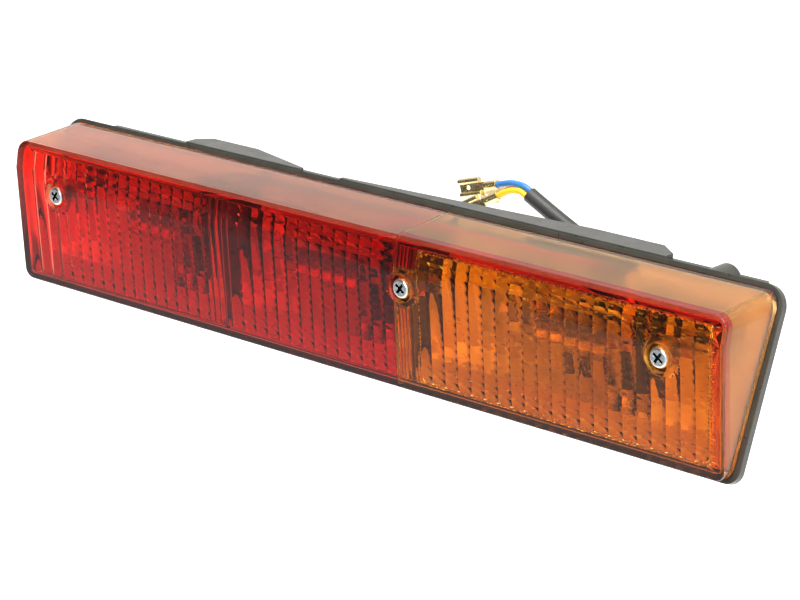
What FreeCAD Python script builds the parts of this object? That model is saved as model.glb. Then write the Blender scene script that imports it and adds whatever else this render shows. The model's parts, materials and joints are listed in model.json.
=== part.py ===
import FreeCAD, Part

import math
import os

from FreeCAD import Placement, Rotation, Vector

# Trailer rear lamp with tail, stop and indicator chambers. Millimetres.
# X runs along the lamp, -Y is the side that shines, +Z is up.
# The origin is in the mounting face, midway between the two studs.

# Cutting tools reach this far past the face they cut; BIG is beyond the whole lamp
OVERCUT = 1.0
BIG = 400.0
TOUCH = 0.01

# Lens
LENS_LENGTH = 340.0
LENS_TOP = 18.0
LENS_BOTTOM = -39.0
LENS_DRAFT = 0.075  # how far top and bottom spread per millimetre of depth
END_DRAFT = 0.03
LENS_WALL = 2.5
TOP_CORNER = 5.0
BOTTOM_CORNER = 4.0
FRONT_Y = -42.0
FRONT_PROFILE = [(-42.0, 18.6), (-44.1, 7.0), (-41.2, -36.5), (-40.6, -46.0)]  # Y, Z
COLOUR_SPLIT_X = 29.0  # red to the left of this plane, amber to the right
LEAST_CORNER = 0.8
LOFT_Y = (-50.0, 20.0)  # the lens's block is drawn between these and then trimmed
IN_FRONT_Y = -48.0
CLEAR = 60.0

# Seat between lens and base: a plane leaning back at the top
TILT = 22.0
SEAT_Y = -21.0
SEAL_GAP = 0.6
SEAL_DEPTH = 1.0
SEAL_EDGE = (0.4, 2.4)

# Base
FLANGE_X = 172.3
FLANGE_V = (-43.9, 23.2)
FLANGE_THICK = 2.9
FLANGE_CORNERS = (5.0, 8.0)  # bottom, top
TRAY_START = 2.0  # the tray and the pods begin inside the flange
POD_CAVITY_START = 3.9
BASE_WALL = 2.5
TRAY_INSET = 3.4
TRAY_ENDS = [(167.0, 2.0), (157.0, 12.6)]  # half length and depth: the tray's ends lean inward
FLOOR_N = 10.0
POD_TOP = 21.5
POD_BOTTOM = -20.0
POD_LEFT = [(-108.0, -30.0), (-108.0, -5.0), (-103.0, 0.0), (-79.0, 0.0), (-47.0, -8.5), (-47.0, -30.0)]
POD_RIGHT = [(-27.0, -30.0), (-27.0, -8.5), (84.0, 0.0), (114.0, 0.0), (122.0, -6.0), (122.0, -30.0)]
PARTITIONS_X = (-59.5, 33.7)
PARTITION_THICK = 2.0
END_BOSS = (141.0, 15.2, 5.5)  # X, Z, radius
END_BOSS_Y = (-16.0, -0.5)
HOLE_REACH = 10.0
PARTITION_GAP = 0.8
PARTITION_BITE = 0.2
PARTITION_SINK = 0.5

# Lens screws and the pillars they pass through
SCREW_X = (-148.5, 31.5, 143.5)
SCREW_Z = -1.3
PILLAR_R = 4.0
PILLAR_END = -24.0
BOSS_R = 4.5
BOSS_GAP = 0.2
BOSS_DEEP_END = -5.0
BOSS_FLOOR_END = -11.0
PILOT_BEYOND_TIP = 0.8
SCREW_HOLE_R = 1.85
SCREW_SHANK_R = 1.75
SCREW_TIP = -12.4
HEAD_R = 3.75
HEAD_H = 2.4
HEAD_ROUND = 1.1
CROSS_ARM = 2.3
CROSS_HALF_WIDTH = 0.6
CROSS_DEPTH = 1.6
CROSS_TURN = 35.0
RECESS_R = 5.25
RECESS_FLOOR = -40.8
RECESS_CUP_R = 6.8
RECESS_CUP_END = -38.8

# Studs and cable exit
STUD_X = 95.0
STUD_R = 2.5
STUD_NECK_R = 3.0
STUD_TIP_CHAMFER = 0.6
STUD_END = 16.0
STUD_HEAD_R = 5.5
STUD_HEAD_H = 2.5
EXIT_X = 104.0
EXIT_Z = -10.5
GROMMET_HOLE_R = 5.0
GROMMET_LIP_R = 6.6
GROMMET_LIP_H = 1.6
GROMMET_NOSE_R = 3.9
GROMMET_NOSE_END = 7.0
GROMMET_GROOVES_Y = (2.6, 4.1, 5.6)
GROMMET_GROOVE_W = 0.7
GROMMET_GROOVE_R = 3.6

# Bulbs lie along X
BULB_Y = -27.6
BULB_Z = -4.0
CAP_R = 7.5
PIN_R = 1.0
PIN_REACH = 8.35
PIN_BEFORE_CAP_END = 6.0
PIN_SINK = 0.7
PIN_GAP = 0.25
CAP_WALL = 0.9
CAP_END_WALL = 2.0
TIP_R = 2.4
SHELL_IN_R = 7.7
SHELL_OUT_R = 8.5
SHELL_BEFORE_PIN = 5.0
PUSH = 2.0
TWIST = 20.0
TWIST_STEPS = 5
SLOT_START_R = 5.0
GLASS_WALL = 0.7
NECK_R = 6.6
NECK_IN_CAP = 5.0
STEM_R = 2.2
STEM_BEFORE_CAP = 3.0
POST_R = 0.3
POST_BALL_R = 0.32
POST_FOOT_Z = 1.4
POST_TOP_Z = 3.2
FILAMENT_R = 0.4
TIP_H = 1.5
DISC_R = 7.4
DISC_H = 1.8
LEAF_T = 0.4
LEAF_SPAN = 4.9
LEAF_HALF_WIDTH = 2.5
LEAF_FRONT_HALF = 2.5
LEAF_ROOT_HALF = 3.6
LEAF_CUT_HALF = 3.9
LUG_PIN_R = 1.2
LUG_OFFSET = 3.8
LUG_T = 0.8
LUG_HALF_WIDTH = 3.0
LUG_TOP = 9.0
PLATE_T = 1.0
INSULATOR_R = 5.0
INSULATOR_T = 1.0
INSULATOR_NECK_R = 2.4
HOLDER_BACK = TIP_H + DISC_H + LEAF_SPAN + LEAF_T + INSULATOR_T
FOOT_LENGTH = 10.0
FOOT_V = (-29.4, -22.4)
HOLDER_FLOOR_GAP = 1.2
BAR_T = 0.8
BAR_V = (-30.4, -24.6)
BAR_GAP = 0.6
STRAP_TOP_V = -14.8
STRAP_HALF_WIDTH = 4.0
STRAP_FRONT = -24.0
STRAP_GAP = 1.0
BULBS = {
    "tail": dict(centre=-120.0, glass_r=9.3, cap_start=9.5, cap_end=24.5),
    "stop": dict(centre=-41.0, glass_r=12.4, cap_start=15.0, cap_end=37.0),
    "indicator": dict(centre=72.0, glass_r=12.4, cap_start=15.0, cap_end=37.0),
}
REFLECTOR_THICK = 0.8
REFLECTOR_RIMS = [(9.0, 9.8, -22.0, 5.0), (1.4, 2.2, -30.4, 10.5)]  # inset, depth, bottom, top
REFLECTOR_LIP = (-0.9, -0.1)  # the lip lies just in front of the base's face
REFLECTOR_LIP_V = (-40.0, 18.4)
REFLECTOR_LIP_INSET = 3.4
REFLECTOR_WALL_GAP = 0.4
REFLECTOR_BOSS_GAP = 0.7
REFLECTOR_MOUTH_START = -5.0
REFLECTOR_CUT_Y = (-40.0, 5.0)
FOOT_WINDOW_GAPS = (0.6, 0.8, 0.7)  # before the plate, beyond the foot, above the shell
WIRE_WINDOWS = [(94.0, 115.0, 0.0, 16.6), (66.0, 95.0, 12.0, 16.6)]  # low and high X, low and high Z
CHAMBERS = {"tail": (-163.0, -60.5), "stop": (-58.5, 32.7), "indicator": (34.7, 163.0)}

# Cable
SLEEVE_R = 3.0
WIRE_R = 1.2
WIRE_OFFSET = 1.4
SLEEVE_ROUTE = [
    (104.0, 7.0, -10.5),
    (104.0, 18.0, -10.5),
    (99.5, 29.5, -9.7),
    (89.5, 37.4, -8.4),
    (75.0, 40.6, -6.0),
    (58.0, 39.8, -1.8),
    (40.5, 39.5, 5.3),
    (23.7, 39.0, 14.2),
]

# Push-on terminals for 6.3 mm blades
TERMINAL_LENGTH = 19.5
TERMINAL_HALF_WIDTH = 3.7
TERMINAL_ROLL_R = 1.15
TERMINAL_SHEET = 0.45
SOCKET_START = 8.5
BLADE_HALF = (0.45, 3.15)
BARREL_R = 1.75
BARREL_LENGTH = 6.0
CRIMP_FROM_ENDS = (1.2, 1.0)
CRIMP_START = -0.9
CRIMP_HALF_WIDTH = 0.25
TERMINAL_NECK_HALF = 1.6
NECK_OVERLAPS = (1.0, 0.5)
ROLL_FROM_TIP = 0.6
ROLL_Y = -0.1
BLADE_STOP = 1.2
DIMPLE_R = 0.9
DIMPLE_FROM_TIP = 4.2

# Each outer wire: its place across the sleeve (up, side), the middle of its bend, and its end in the terminal
OUTER_STRAIGHT = 3.5
OUTER_WIRES = {
    "blue": ((1.0, 0.0), (15.5, 39.0, 17.3), (8.4, 39.0, 15.3)),
    "red": ((-0.5, 0.87), (16.2, 41.0, 15.2), (10.6, 42.4, 12.8)),
    "yellow": ((-0.5, -0.87), (16.0, 37.0, 14.8), (11.4, 35.8, 12.2)),
}

# Each inner wire: its chamber, its place across the grommet (X, Z), its straight run into the grommet,
# and its points from lug to grommet
LUG_RISE = 5.0
INNER_WIRES = {
    "blue": ("tail", (-0.87, -0.5), 6.4),
    "red": ("stop", (0.0, 1.0), 3.6),
    "yellow": ("indicator", (0.87, -0.5), 6.4),
}
INNER_ROUTES = {
    "blue": [
        (-76.0, -21.4, 13.6),
        (-62.0, -18.5, 14.5),
        (-30.0, -18.1, 14.2),
        (12.0, -18.4, 14.6),
        (52.0, -18.0, 14.3),
        (80.0, -18.2, 14.4),
        (96.5, -13.2, 11.4),
        (100.2, -8.6, 5.5),
        (101.0, -8.8, -3.5),
    ],
    "red": [
        (14.0, -23.6, 13.9),
        (27.0, -21.9, 14.7),
        (56.0, -21.5, 14.3),
        (84.0, -21.6, 14.5),
        (99.0, -17.2, 12.4),
        (103.4, -11.4, 8.6),
        (104.0, -8.4, 1.0),
    ],
    "yellow": [
        (117.0, -21.4, 13.0),
        (110.6, -15.4, 11.4),
        (107.6, -9.2, 5.0),
        (107.0, -8.8, -3.5),
    ],
}
WIRE_GAPS = [(-21.5, 14.5, 2.3), (-18.2, 14.5, 2.3)]  # Y, Z and radius of the gaps in the partitions


def vec(x, y, z):
    return Vector(x, y, z)


def box(x0, x1, y0, y1, z0, z1):
    return Part.makeBox(x1 - x0, y1 - y0, z1 - z0, vec(x0, y0, z0))


def rod_x(radius, x0, x1, y, z):
    return Part.makeCylinder(radius, x1 - x0, vec(x0, y, z), vec(1, 0, 0))


def rod_y(radius, y0, y1, x, z):
    return Part.makeCylinder(radius, y1 - y0, vec(x, y0, z), vec(0, 1, 0))


def rod_between(radius, start, end):
    way = end - start
    return Part.makeCylinder(radius, way.Length, start, way)


def fuse_all(shapes):
    whole = shapes[0]
    for shape in shapes[1:]:
        whole = whole.fuse(shape)
    return whole.removeSplitter()


def to_seat(shape):
    """Moves a shape drawn about the seat's own axes (X, depth behind the seat, height along it) into place."""
    shape.Placement = Placement(vec(0, SEAT_Y, 0), Rotation(vec(1, 0, 0), -TILT))
    return shape


def seat_slab(front, back):
    """Everything between two planes parallel to the seat."""
    return to_seat(box(-BIG, BIG, front, back, -BIG, BIG))


def extrude_yz(points, x0, x1):
    corners = [vec(x0, y, z) for y, z in points]
    face = Part.Face(Part.makePolygon(corners + corners[:1]))
    return face.extrude(vec(x1 - x0, 0, 0))


def extrude_xy(points, z0, z1, inset=0.0):
    corners = [vec(x, y, z0) for x, y in points]
    face = Part.Face(Part.makePolygon(corners + corners[:1]))
    if inset:
        face = face.makeOffset2D(-inset)
    return face.extrude(vec(0, 0, z1 - z0))


def rounded_frame(y, half_x, low, high, low_r, high_r):
    """A closed outline in a plane of constant Y, with rounded corners."""
    half = math.sqrt(0.5)
    corners = [
        (half_x, low, -1, 1, low_r),
        (half_x, high, -1, -1, high_r),
        (-half_x, high, 1, -1, high_r),
        (-half_x, low, 1, 1, low_r),
    ]
    arcs = []
    for index, (x, z, inward_x, inward_z, r) in enumerate(corners):
        centre = vec(x + inward_x * r, y, z + inward_z * r)
        across = centre + vec(-inward_x * r, 0, 0)
        along = centre + vec(0, 0, -inward_z * r)
        middle = centre + vec(-inward_x * r * half, 0, -inward_z * r * half)
        ends = (along, across) if index % 2 == 0 else (across, along)
        arcs.append((ends[0], middle, ends[1]))
    edges = []
    for index, (start, middle, end) in enumerate(arcs):
        edges.append(Part.Arc(start, middle, end).toShape())
        next_start = arcs[(index + 1) % 4][0]
        edges.append(Part.makeLine(end, next_start))
    return Part.Wire(edges)


def lens_block(inset):
    """The space inside the lens's outer skin, moved in by inset, and carried on behind the seat."""
    outlines = []
    for y in LOFT_Y:
        depth = y - FRONT_Y
        half_x = LENS_LENGTH / 2 + depth * END_DRAFT - inset
        low = LENS_BOTTOM - depth * LENS_DRAFT + inset
        high = LENS_TOP + depth * LENS_DRAFT - inset
        low_r = max(BOTTOM_CORNER - inset, LEAST_CORNER)
        high_r = max(TOP_CORNER - inset, LEAST_CORNER)
        outlines.append(rounded_frame(y, half_x, low, high, low_r, high_r))
    block = Part.makeLoft(outlines, True, True)
    front = [(y + inset, z) for y, z in FRONT_PROFILE]
    behind_front = [(front[0][0] + OVERCUT, CLEAR)] + front + [(CLEAR, -CLEAR), (CLEAR, CLEAR)]
    return block.common(extrude_yz(behind_front, -BIG, BIG))


# Lens

def screw_columns(radius, start, end):
    return [rod_y(radius, start, end, x, SCREW_Z) for x in SCREW_X]


def whole_lens():
    """The moulded lens before it is divided by colour: shell, screw pillars and screw recesses."""
    outer = lens_block(0.0)
    shell = outer.cut(lens_block(LENS_WALL))
    pillars = screw_columns(PILLAR_R, IN_FRONT_Y, PILLAR_END)
    cups = screw_columns(RECESS_CUP_R, IN_FRONT_Y, RECESS_CUP_END)
    solid = fuse_all([shell] + [piece.common(outer) for piece in pillars + cups])
    for recess in screw_columns(RECESS_R, IN_FRONT_Y, RECESS_FLOOR):
        solid = solid.cut(recess)
    for hole in screw_columns(SCREW_HOLE_R, IN_FRONT_Y, PILLAR_END + OVERCUT):
        solid = solid.cut(hole)
    return solid.common(seat_slab(-BIG, -SEAL_GAP))


def lens_parts():
    lens = whole_lens()
    return {
        "lens_red": lens.common(box(-BIG, COLOUR_SPLIT_X, -BIG, BIG, -BIG, BIG)),
        "lens_amber": lens.common(box(COLOUR_SPLIT_X, BIG, -BIG, BIG, -BIG, BIG)),
    }


def lens_screws():
    """Three pan-head screws with a cross recess each."""
    screws = []
    for x in SCREW_X:
        head = rod_y(HEAD_R, RECESS_FLOOR - HEAD_H, RECESS_FLOOR, x, SCREW_Z)
        top_edges = [edge for edge in head.Edges if abs(edge.CenterOfMass.y - head.BoundBox.YMin) < TOUCH]
        head = head.makeFillet(HEAD_ROUND, top_edges)
        shank = rod_y(SCREW_SHANK_R, RECESS_FLOOR, SCREW_TIP, x, SCREW_Z)
        screw = head.fuse(shank)
        front = RECESS_FLOOR - HEAD_H - OVERCUT
        back = RECESS_FLOOR - HEAD_H + CROSS_DEPTH
        for half_w, half_h in ((CROSS_ARM, CROSS_HALF_WIDTH), (CROSS_HALF_WIDTH, CROSS_ARM)):
            slot = box(x - half_w, x + half_w, front, back, SCREW_Z - half_h, SCREW_Z + half_h)
            slot.rotate(vec(x, 0, SCREW_Z), vec(0, 1, 0), CROSS_TURN)
            screw = screw.cut(slot)
        screws.append(screw)
    return Part.makeCompound(screws)


# Base

def lens_seal():
    outer_edge, inner_edge = SEAL_EDGE
    ring = lens_block(outer_edge).cut(lens_block(inner_edge))
    return ring.common(seat_slab(-SEAL_GAP, SEAL_DEPTH))


def flange():
    half = FLANGE_X
    low, high = FLANGE_V
    outline = rounded_frame(0.0, half, low, high, *FLANGE_CORNERS)
    plate = Part.Face(outline).extrude(vec(0, FLANGE_THICK, 0))
    return to_seat(plate)


def between_tray_ends(inset):
    """The room between the tray's leaning ends, moved in by inset."""
    (front_x, front_n), (back_x, back_n) = TRAY_ENDS
    front_x -= inset
    back_x -= inset
    corners = [(-front_x, front_n), (front_x, front_n), (back_x, back_n), (-back_x, back_n)]
    corners = [(-front_x, -BIG), (front_x, -BIG)] + corners[1:] + corners[:1]
    return to_seat(extrude_xy(corners, -BIG, BIG))


def pods(inset, top, bottom):
    """The two deep parts of the base, whose flat backs are the mounting face."""
    return [extrude_xy(points, bottom, top, inset) for points in (POD_LEFT, POD_RIGHT)]


def base_housing():
    behind_seat = seat_slab(TRAY_START, BIG)
    floor_back = FLOOR_N + BASE_WALL
    tray = lens_block(TRAY_INSET).common(seat_slab(TRAY_START, floor_back))
    tray = tray.common(between_tray_ends(0.0))
    outer_pods = [pod.common(behind_seat) for pod in pods(0.0, POD_TOP, POD_BOTTOM)]
    boss_x, boss_z, boss_r = END_BOSS
    end_boss = rod_y(boss_r, *END_BOSS_Y, boss_x, boss_z).common(behind_seat)
    body = fuse_all([flange(), tray, end_boss] + outer_pods)

    cavity_inset = TRAY_INSET + BASE_WALL
    cavity = lens_block(cavity_inset).common(between_tray_ends(BASE_WALL))
    body = body.cut(cavity.common(seat_slab(-OVERCUT, FLOOR_N)))
    for pod in pods(BASE_WALL, POD_TOP - BASE_WALL, POD_BOTTOM + BASE_WALL):
        body = body.cut(pod.common(seat_slab(POD_CAVITY_START, BIG)))
    groove = lens_block(SEAL_EDGE[0]).cut(lens_block(SEAL_EDGE[1]))
    body = body.cut(groove.common(seat_slab(-OVERCUT, SEAL_DEPTH)))

    boss_ends = (BOSS_FLOOR_END, BOSS_DEEP_END, BOSS_FLOOR_END)
    bosses = [
        rod_y(BOSS_R, PILLAR_END + BOSS_GAP, end, x, SCREW_Z) for x, end in zip(SCREW_X, boss_ends)
    ]
    body = fuse_all([body] + bosses + partitions())
    for hole in screw_columns(SCREW_HOLE_R, PILLAR_END - OVERCUT, SCREW_TIP + PILOT_BEYOND_TIP):
        body = body.cut(hole)
    for x in (-STUD_X, STUD_X):
        body = body.cut(rod_y(STUD_NECK_R, -HOLE_REACH, HOLE_REACH, x, 0.0))
    return body.cut(rod_y(GROMMET_HOLE_R, -HOLE_REACH, HOLE_REACH, EXIT_X, EXIT_Z))


def partitions():
    """Walls that keep each chamber's light apart. The middle one leaves room for a screw pillar."""
    walls = []
    tray_inset = TRAY_INSET + BASE_WALL - PARTITION_BITE
    inside_lens = lens_block(LENS_WALL + PARTITION_GAP).common(seat_slab(-BIG, FLANGE_THICK))
    tray_slab = seat_slab(-PARTITION_SINK, FLOOR_N + PARTITION_SINK)
    inside_tray = lens_block(tray_inset).common(tray_slab)
    room = lens_block(tray_inset).common(inside_lens.fuse(inside_tray))
    clearance = screw_columns(PILLAR_R + PARTITION_GAP, IN_FRONT_Y, PILLAR_END + BOSS_GAP)
    cups = screw_columns(RECESS_CUP_R + PARTITION_GAP, IN_FRONT_Y, RECESS_CUP_END + PARTITION_GAP)
    bar_low, bar_high = BAR_V
    bar_front = FLOOR_N - BAR_T - BAR_GAP
    bar_gap = to_seat(box(-BIG, BIG, bar_front, FLOOR_N, bar_low - BAR_GAP, bar_high + BAR_GAP))
    wire_gaps = [rod_x(r, -BIG, BIG, y, z) for y, z, r in WIRE_GAPS]
    for x in PARTITIONS_X:
        half = PARTITION_THICK / 2
        wall = room.common(box(x - half, x + half, -BIG, BIG, -BIG, BIG))
        for tool in clearance + cups + wire_gaps + [bar_gap]:
            wall = wall.cut(tool)
        walls.append(wall)
    return walls


def reflector(ends, bulb):
    """A flared dish behind one bulb, open for the screw bosses and the bulb holder's foot."""
    x0, x1 = ends
    rims = []
    for inset, n, low, high in REFLECTOR_RIMS:
        rims.append((x0 + inset, x1 - inset, n, low, high))
    skins = []
    for thickness in (0.0, REFLECTOR_THICK):
        wires = []
        for left, right, n, low, high in rims:
            corners = [
                vec(left + thickness, n - thickness, low + thickness),
                vec(right - thickness, n - thickness, low + thickness),
                vec(right - thickness, n - thickness, high - thickness),
                vec(left + thickness, n - thickness, high - thickness),
            ]
            wires.append(Part.makePolygon(corners + corners[:1]))
        skins.append(Part.makeLoft(wires, True, True))
    inset, rim_n, low, high = REFLECTOR_RIMS[1]
    lid = box(x0, x1, rim_n - REFLECTOR_THICK, rim_n, -BIG, BIG)
    collar = box(x0 + inset, x1 - inset, REFLECTOR_LIP[0], rim_n, low, high)
    dish = to_seat(skins[0].cut(skins[1]).cut(lid).fuse(collar.cut(reflector_mouth(ends))))
    plate_x = bulb["centre"] + bulb["cap_end"] + HOLDER_BACK
    before, beyond, above = FOOT_WINDOW_GAPS
    foot_end = plate_x + FOOT_LENGTH + beyond
    foot_top = BULB_Z + SHELL_OUT_R + above
    foot_window = box(plate_x - before, foot_end, *REFLECTOR_CUT_Y, -BIG, foot_top)
    strap_half = STRAP_HALF_WIDTH + STRAP_GAP
    strap_front = FLOOR_N - BAR_T - STRAP_GAP
    strap_top = STRAP_TOP_V + STRAP_GAP
    strap_x = (STUD_X - strap_half, STUD_X + strap_half)
    strap_window = to_seat(box(*strap_x, strap_front, BIG, -BIG, strap_top))
    for window in (foot_window, strap_window):
        dish = dish.cut(window)
    whole = dish.fuse(reflector_lip(ends))
    wire_windows = [box(x0, x1, *REFLECTOR_CUT_Y, z0, z1) for x0, x1, z0, z1 in WIRE_WINDOWS]
    for cutter in screw_columns(BOSS_R + REFLECTOR_BOSS_GAP, *REFLECTOR_CUT_Y) + wire_windows:
        whole = whole.cut(cutter)
    return whole


def reflector_mouth(ends):
    """The room inside the collar that joins the dish to the lip."""
    x0, x1 = ends
    inset, rim_n, low, high = REFLECTOR_RIMS[1]
    inset += REFLECTOR_THICK
    depths = (REFLECTOR_MOUTH_START, rim_n + OVERCUT)
    return box(x0 + inset, x1 - inset, *depths, low + REFLECTOR_THICK, high - REFLECTOR_THICK)


def reflector_lip(ends):
    """The flat lip round the dish, which hides the base's face behind the lens."""
    x0, x1 = ends
    x0 = -BIG if x0 == CHAMBERS["tail"][0] else x0 + REFLECTOR_WALL_GAP
    x1 = BIG if x1 == CHAMBERS["indicator"][1] else x1 - REFLECTOR_WALL_GAP
    strip = to_seat(box(x0, x1, *REFLECTOR_LIP, *REFLECTOR_LIP_V))
    return strip.common(lens_block(REFLECTOR_LIP_INSET)).cut(to_seat(reflector_mouth(ends)))


# Bulb holders and bulbs

def holder(bulb):
    """Bayonet shell on a bent bracket whose foot stands on the base's floor."""
    cap_end = bulb["centre"] + bulb["cap_end"]
    pin_x = cap_end - PIN_BEFORE_CAP_END
    mouth = pin_x - SHELL_BEFORE_PIN
    plate_x = cap_end + HOLDER_BACK
    shell = rod_x(SHELL_OUT_R, mouth, plate_x, BULB_Y, BULB_Z)
    shell = shell.cut(rod_x(SHELL_IN_R, mouth - OVERCUT, plate_x, BULB_Y, BULB_Z))
    for slot in bayonet_slots(mouth, pin_x):
        shell = shell.cut(slot)
    foot_n = FLOOR_N - BAR_T
    plate = box(plate_x, plate_x + PLATE_T, BULB_Y - SHELL_OUT_R, BIG, -BIG, BULB_Z + SHELL_OUT_R)
    above_foot = to_seat(box(-BIG, BIG, -BIG, foot_n, FOOT_V[0], BIG))
    plate = plate.common(above_foot).cut(seat_slab(FLOOR_N - HOLDER_FLOOR_GAP, BIG))
    foot = to_seat(box(plate_x, plate_x + FOOT_LENGTH, foot_n - PLATE_T, foot_n, *FOOT_V))
    whole = fuse_all([shell, plate, foot])
    return whole.cut(rod_x(INSULATOR_NECK_R, plate_x - OVERCUT, plate_x + PLATE_T + OVERCUT, BULB_Y, BULB_Z))


def bayonet_slots(mouth, pin_x):
    """Room for the two pins to be pushed in, turned and drawn out."""
    half_width = PIN_R + PIN_GAP
    slot_top = SHELL_OUT_R + OVERCUT
    slots = []
    for side in (0.0, 180.0):
        for step in range(TWIST_STEPS + 1):
            x0 = pin_x - half_width
            x1 = pin_x + PUSH + half_width
            slot = box(x0, x1, -half_width, half_width, SLOT_START_R, slot_top)
            slots.append(turned_about_bulb(slot, side + TWIST * step / TWIST_STEPS))
        entry = box(mouth - OVERCUT, pin_x, -half_width, half_width, SLOT_START_R, slot_top)
        slots.append(turned_about_bulb(entry, side + TWIST))
    return slots


def turned_about_bulb(shape, degrees):
    """Takes a shape drawn about the X axis to the bulbs' axis, turned the way a bulb turns."""
    shape.rotate(vec(0, 0, 0), vec(1, 0, 0), degrees)
    shape.translate(vec(0, BULB_Y, BULB_Z))
    return shape


def contact_disc(bulb):
    """Insulating disc that the bulb's tip pushes on."""
    start = bulb["centre"] + bulb["cap_end"] + TIP_H
    return rod_x(DISC_R, start, start + DISC_H, BULB_Y, BULB_Z)


def contact_leaf(bulb):
    """Springy strip between the disc and the bracket, with a pin through to a solder lug."""
    start = bulb["centre"] + bulb["cap_end"] + TIP_H + DISC_H
    root = start + LEAF_SPAN
    path = [
        (start, -LEAF_FRONT_HALF),
        (start, LEAF_FRONT_HALF),
        (root, -LEAF_ROOT_HALF),
        (root, LEAF_ROOT_HALF),
    ]
    pieces = []
    for (xa, ya), (xb, yb) in zip(path, path[1:]):
        way = vec(xb - xa, yb - ya, 0)
        strip = Part.makeBox(way.Length, LEAF_T, 2 * LEAF_HALF_WIDTH)
        strip.rotate(vec(0, 0, 0), vec(0, 0, 1), math.degrees(math.atan2(way.y, way.x)))
        strip.translate(vec(xa, BULB_Y + ya, BULB_Z - LEAF_HALF_WIDTH))
        pieces.append(strip)
    low_y = BULB_Y - LEAF_CUT_HALF
    high_y = BULB_Y + LEAF_CUT_HALF
    low_z = BULB_Z - LEAF_HALF_WIDTH
    high_z = BULB_Z + LEAF_HALF_WIDTH
    inside = box(start, root + LEAF_T, low_y, high_y, low_z, high_z)
    band = fuse_all(pieces).common(inside)
    lug_x = root + LEAF_T + LUG_OFFSET
    pin = rod_x(LUG_PIN_R, root, lug_x + LUG_T, BULB_Y, BULB_Z)
    half = LUG_HALF_WIDTH
    lug = box(lug_x, lug_x + LUG_T, BULB_Y - half, BULB_Y + half, BULB_Z - half, BULB_Z + LUG_TOP)
    return fuse_all([band, pin, lug])


def leaf_insulator(bulb):
    plate_x = bulb["centre"] + bulb["cap_end"] + HOLDER_BACK
    start = plate_x - INSULATOR_T
    washer = rod_x(INSULATOR_R, start, plate_x, BULB_Y, BULB_Z)
    neck = rod_x(INSULATOR_NECK_R, plate_x, plate_x + PLATE_T, BULB_Y, BULB_Z)
    hole = rod_x(LUG_PIN_R, start - OVERCUT, plate_x + PLATE_T + OVERCUT, BULB_Y, BULB_Z)
    return washer.fuse(neck).cut(hole)


def bulb_glass(bulb):
    """Glass envelope: a ball drawn down to a neck that is cemented into the cap."""
    centre = bulb["centre"]
    neck_end = bulb["cap_start"] + NECK_IN_CAP
    outer = glass_outline(bulb["glass_r"], NECK_R)
    inner = glass_outline(bulb["glass_r"] - GLASS_WALL, NECK_R - GLASS_WALL)
    outer_rim = vec(neck_end, NECK_R, 0)
    inner_rim = vec(neck_end, NECK_R - GLASS_WALL, 0)
    edges = [
        Part.Arc(*outer).toShape(),
        Part.makeLine(outer[2], outer_rim),
        Part.makeLine(outer_rim, inner_rim),
        Part.makeLine(inner_rim, inner[2]),
        Part.Arc(*reversed(inner)).toShape(),
        Part.makeLine(inner[0], outer[0]),
    ]
    glass = Part.Face(Part.Wire(edges)).revolve(vec(0, 0, 0), vec(1, 0, 0), 360.0)
    glass.translate(vec(centre, BULB_Y, BULB_Z))
    return glass


def glass_outline(ball_r, neck_r):
    """Three points along a ball's outline, from its far end to where the neck begins."""
    junction = vec(math.sqrt(ball_r**2 - neck_r**2), neck_r, 0)
    halfway = (math.pi + math.atan2(junction.y, junction.x)) / 2
    middle = vec(ball_r * math.cos(halfway), ball_r * math.sin(halfway), 0)
    return [vec(-ball_r, 0, 0), middle, junction]


def bulb_cap(bulb):
    """Bayonet cap with two side pins and the centre contact."""
    start = bulb["centre"] + bulb["cap_start"]
    end = bulb["centre"] + bulb["cap_end"]
    cap = rod_x(CAP_R, start, end, BULB_Y, BULB_Z)
    cap = cap.cut(rod_x(CAP_R - CAP_WALL, start - OVERCUT, end - CAP_END_WALL, BULB_Y, BULB_Z))
    tip = rod_x(TIP_R, end, end + TIP_H, BULB_Y, BULB_Z)
    pins = []
    for side in (-1, 1):
        root = vec(end - PIN_BEFORE_CAP_END, BULB_Y, BULB_Z + side * (CAP_R - PIN_SINK))
        outer = vec(end - PIN_BEFORE_CAP_END, BULB_Y, BULB_Z + side * PIN_REACH)
        pins.append(rod_between(PIN_R, root, outer))
    return fuse_all([cap, tip] + pins)


def bulb_filament(bulb):
    """Filament on its two posts, held by a glass stem that stands in the cap."""
    centre = bulb["centre"]
    stem_end = centre + bulb["cap_end"] - CAP_END_WALL
    stem_start = centre + bulb["cap_start"] - STEM_BEFORE_CAP
    pieces = [rod_x(STEM_R, stem_start, stem_end, BULB_Y, BULB_Z)]
    tops = []
    for side in (-1, 1):
        foot = vec(stem_start, BULB_Y, BULB_Z + side * POST_FOOT_Z)
        top = vec(centre, BULB_Y, BULB_Z + side * POST_TOP_Z)
        pieces.append(rod_between(POST_R, foot, top))
        pieces.append(Part.makeSphere(POST_BALL_R, top))
        tops.append(top)
    pieces.append(rod_between(FILAMENT_R, *tops))
    return fuse_all(pieces)


# Mounting, wiring and cable

def mount_studs():
    studs = []
    for x in (-STUD_X, STUD_X):
        back_wall = -BASE_WALL
        head = rod_y(STUD_HEAD_R, back_wall - STUD_HEAD_H, back_wall, x, 0.0)
        neck = rod_y(STUD_NECK_R, back_wall, 0.0, x, 0.0)
        shank = rod_y(STUD_R, 0.0, STUD_END, x, 0.0)
        tip_edges = [edge for edge in shank.Edges if abs(edge.CenterOfMass.y - STUD_END) < TOUCH]
        studs.append(fuse_all([head, neck, shank.makeChamfer(STUD_TIP_CHAMFER, tip_edges)]))
    return Part.makeCompound(studs)


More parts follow.
